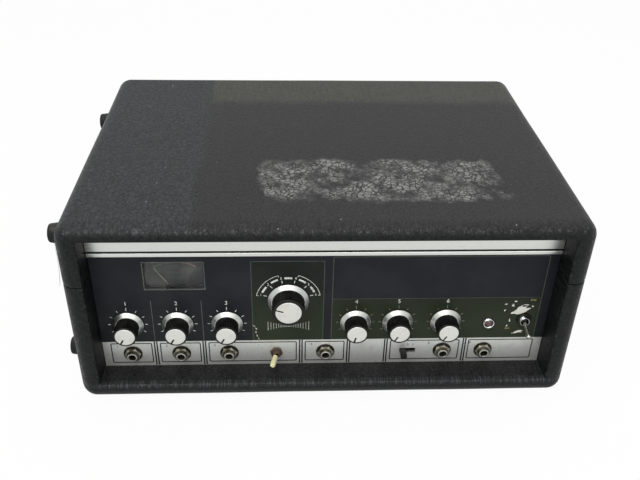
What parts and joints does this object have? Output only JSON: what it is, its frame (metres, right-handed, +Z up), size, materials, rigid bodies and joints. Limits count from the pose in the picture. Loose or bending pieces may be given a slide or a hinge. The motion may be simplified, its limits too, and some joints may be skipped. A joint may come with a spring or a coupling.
{
  "type": "tape echo unit",
  "caption": "Portable tape echo in a black vinyl-covered cabinet: recessed control panel with knobs, meter, switches and jacks, lift-off cover and tape transport inside.",
  "frame": {"origin": "under the middle of the cabinet, on the surface that the feet stand on", "axes": "+X to the right seen from the front, +Y towards the back, +Z up; the control panel faces -Y"},
  "size_m": [0.437, 0.305, 0.184],
  "materials": {
    "vinyl_cabinet": "black pebbled vinyl over board",
    "rubber": "matt",
    "strap": "ribbed vinyl",
    "chrome": "bright",
    "zinc": "zinc plated",
    "nickel": "dull nickel",
    "black_plastic": "moulded",
    "panel_black": "black and dark green paint over brushed aluminium",
    "aluminium": "brushed",
    "dial": "dark grey printed card",
    "window": "smoked",
    "lens": "dark red",
    "needle": "light grey",
    "jack_metal": "dull nickel over brass",
    "steel": "satin",
    "board": "laminate with parts",
    "transformer": "varnished laminations",
    "tank": "moulded",
    "clear": "clear acrylic",
    "tape": "oxide",
    "felt": "felt on a steel bar",
    "bearing": "sintered bronze",
    "motor": "grey",
    "belt": "matt",
    "ivory": "ivory sleeve",
    "spun": "spun"
  },
  "bodies": {
    "cabinet": {"cabinet_base": "vinyl_cabinet", "rubber_feet": "rubber", "handle_strap": "strap", "handle_caps": "chrome", "case_screws": "zinc", "cover_studs": "zinc", "cord_gland": "black_plastic", "fuse_holder": "black_plastic", "chassis": "steel", "front_panel": "panel_black", "trim_rail": "aluminium", "meter_housing": "black_plastic", "meter_dial": "dial", "meter_window": "window", "pilot_bezel": "chrome", "pilot_lens": "lens", "toggle_switches": "chrome", "level_switch": "steel", "jacks": "jack_metal", "panel_nuts": "nickel", "potentiometers": "steel", "mode_switch": "bearing", "circuit_board": "board", "transformer": "transformer", "tape_deck": "aluminium", "tape_tank": "tank", "tank_cover": "clear", "deck_screws": "zinc", "tape_loop": "tape", "tape_heads": "steel", "head_block": "steel", "tape_guides": "chrome", "pressure_pads": "felt", "capstan_bearing": "bearing", "motor": "motor", "drive_belt": "belt"},
    "cover": {"top_cover": "vinyl_cabinet", "cover_feet": "rubber"},
    "capstan": {"capstan_flywheel": "steel"},
    "motor_rotor": {"motor_pulley": "bearing"},
    "pinch_arm": {"pinch_arm": "steel"},
    "pinch_roller": {"pinch_roller": "belt"},
    "needle": {"meter_needle": "needle"},
    "power_lever": {"power_lever": "chrome"},
    "input_lever": {"input_lever": "ivory"},
    "level_button": {"level_button": "black_plastic"},
    "mic_1_knob": {"mic_1_grip": "black_plastic", "mic_1_trim": "spun"},
    "mic_2_knob": {"mic_2_grip": "black_plastic", "mic_2_trim": "spun"},
    "instrument_knob": {"instrument_grip": "black_plastic", "instrument_trim": "spun"},
    "mode_knob": {"mode_grip": "black_plastic", "mode_trim": "spun"},
    "repeat_knob": {"repeat_grip": "black_plastic", "repeat_trim": "spun"},
    "intensity_knob": {"intensity_grip": "black_plastic", "intensity_trim": "spun"},
    "echo_knob": {"echo_grip": "black_plastic", "echo_trim": "spun"}
  },
  "joints": [
    {"name": "cover_lift", "type": "slide", "parent": "cabinet", "child": "cover", "axis": [0, 0, 1], "range_m": [0, 0.12]},
    {"name": "capstan_turn", "type": "hinge", "parent": "cabinet", "child": "capstan", "pos_m": [0.1, -0.0693, 0.104], "axis": [0, 0, 1], "continuous": true},
    {"name": "motor_turn", "type": "hinge", "parent": "cabinet", "child": "motor_rotor", "pos_m": [0.01, -0.0025, 0.104], "axis": [0, 0, 1], "continuous": true},
    {"name": "pinch_swing", "type": "hinge", "parent": "cabinet", "child": "pinch_arm", "pos_m": [0.14, -0.0847, 0.121], "axis": [0, 0, 1], "range_deg": [0, 12], "stiffness_Nm_per_rad": 0.05, "springref_deg": -11.46},
    {"name": "roller_turn", "type": "hinge", "parent": "pinch_arm", "child": "pinch_roller", "pos_m": [0.1, -0.0847, 0.124], "axis": [0, 0, 1], "continuous": true},
    {"name": "needle_swing", "type": "hinge", "parent": "cabinet", "child": "needle", "pos_m": [-0.1237, -0.118, 0.1], "axis": [0, 1, 0], "range_deg": [0, 66], "stiffness_Nm_per_rad": 0.00001, "springref_deg": -17.19},
    {"name": "power_flip", "type": "hinge", "parent": "cabinet", "child": "power_lever", "pos_m": [0.17, -0.1281, 0.0758], "axis": [-1, 0, 0], "range_deg": [0, 26]},
    {"name": "input_flip", "type": "hinge", "parent": "cabinet", "child": "input_lever", "pos_m": [-0.0418, -0.1291, 0.0422], "axis": [-0.309, 0, 0.9511], "range_deg": [0, 26]},
    {"name": "level_slide", "type": "slide", "parent": "cabinet", "child": "level_button", "axis": [1, 0, 0], "range_m": [0, 0.008]},
    {"name": "mic_1_turn", "type": "hinge", "parent": "cabinet", "child": "mic_1_knob", "pos_m": [-0.1655, -0.1275, 0.0746], "axis": [0, 1, 0], "range_deg": [0, 300]},
    {"name": "mic_2_turn", "type": "hinge", "parent": "cabinet", "child": "mic_2_knob", "pos_m": [-0.1242, -0.1275, 0.0746], "axis": [0, 1, 0], "range_deg": [0, 300]},
    {"name": "instrument_turn", "type": "hinge", "parent": "cabinet", "child": "instrument_knob", "pos_m": [-0.0829, -0.1275, 0.0746], "axis": [0, 1, 0], "range_deg": [0, 300]},
    {"name": "mode_turn", "type": "hinge", "parent": "cabinet", "child": "mode_knob", "pos_m": [-0.0314, -0.1275, 0.0982], "axis": [0, 1, 0], "range_deg": [0, 150]},
    {"name": "repeat_turn", "type": "hinge", "parent": "cabinet", "child": "repeat_knob", "pos_m": [0.0255, -0.1275, 0.0746], "axis": [0, 1, 0], "range_deg": [0, 300]},
    {"name": "intensity_turn", "type": "hinge", "parent": "cabinet", "child": "intensity_knob", "pos_m": [0.0614, -0.1275, 0.0746], "axis": [0, 1, 0], "range_deg": [0, 300]},
    {"name": "echo_turn", "type": "hinge", "parent": "cabinet", "child": "echo_knob", "pos_m": [0.1025, -0.1275, 0.0746], "axis": [0, 1, 0], "range_deg": [0, 300]}
  ],
  "couplings": [
    {"joint": "motor_turn", "follows": "capstan_turn", "ratio": 4.75},
    {"joint": "roller_turn", "follows": "capstan_turn", "ratio": -0.25}
  ]
}
